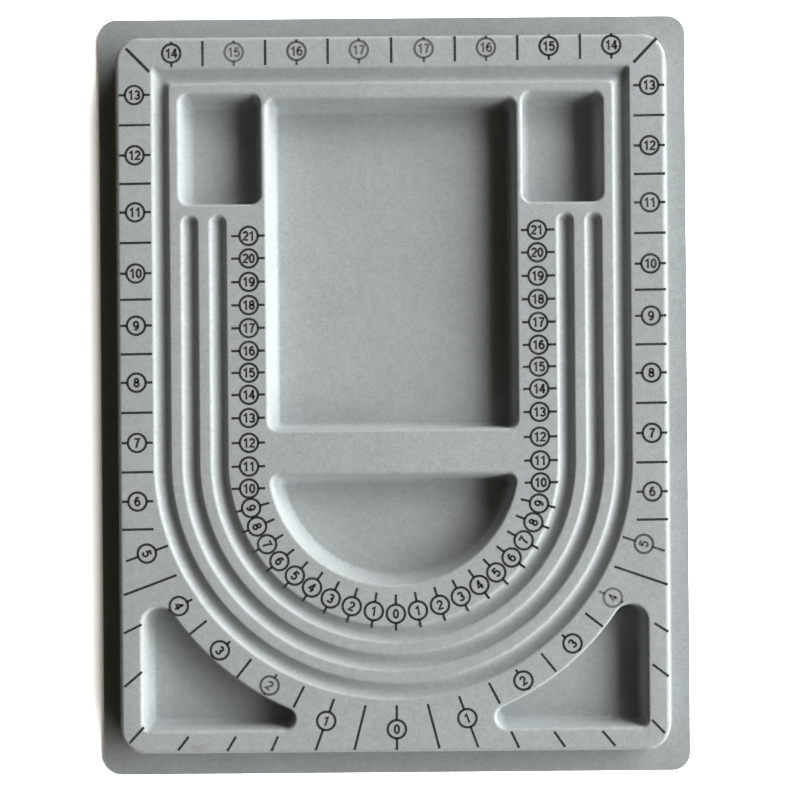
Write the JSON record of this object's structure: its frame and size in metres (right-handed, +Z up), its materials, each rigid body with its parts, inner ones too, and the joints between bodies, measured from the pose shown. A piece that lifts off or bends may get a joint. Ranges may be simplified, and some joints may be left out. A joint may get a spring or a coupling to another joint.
{
  "type": "bead board",
  "caption": "Flat flocked bead board with a flange, round-bottomed U-shaped strand grooves beside printed scales, and sunken trays for loose beads and findings.",
  "frame": {"origin": "on the underside, below the middle of the board", "axes": "+Z up out of the flocked face, +Y along the board towards the end with the two small trays, +X to the right of someone who reads the scales"},
  "size_m": [0.2614, 0.3364, 0.013],
  "materials": {
    "sheet_plastic": "thin thermoformed plastic, smooth on the underside",
    "scale_ink": "black screen-printed ink of the scales, which the scene adds",
    "flock": "short grey flock fibre, matt"
  },
  "bodies": {
    "root": {"formed_sheet": "sheet_plastic", "flock_pile": "flock"}
  },
  "joints": []
}
